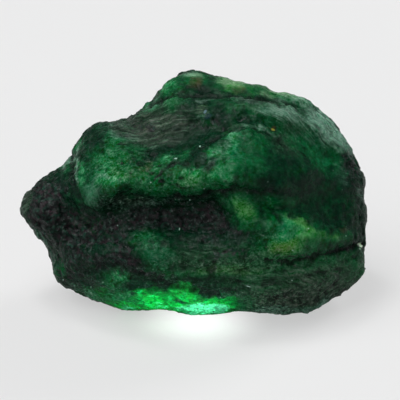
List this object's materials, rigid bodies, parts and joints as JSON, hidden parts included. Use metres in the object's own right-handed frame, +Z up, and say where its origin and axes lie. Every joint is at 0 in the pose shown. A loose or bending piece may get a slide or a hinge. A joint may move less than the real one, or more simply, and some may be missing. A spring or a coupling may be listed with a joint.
{
  "type": "rough emerald",
  "caption": "Hand-sized lump of rough dark green emerald, folded in wavy ledges and streaked with black mica, resting on a small flat.",
  "frame": {"origin": "middle of the stone's extent in X and Y, on the surface that it rests on", "axes": "+X to the right along the stone as its broad face is seen, +Y towards the back, +Z up; the broad face looks to -Y and leans back"},
  "size_m": [0.065, 0.0416, 0.0409],
  "materials": {
    "beryl": "glossy on the green folds, duller and sparkling where black mica covers them"
  },
  "bodies": {
    "root": {"rough_emerald": "beryl"}
  },
  "joints": []
}
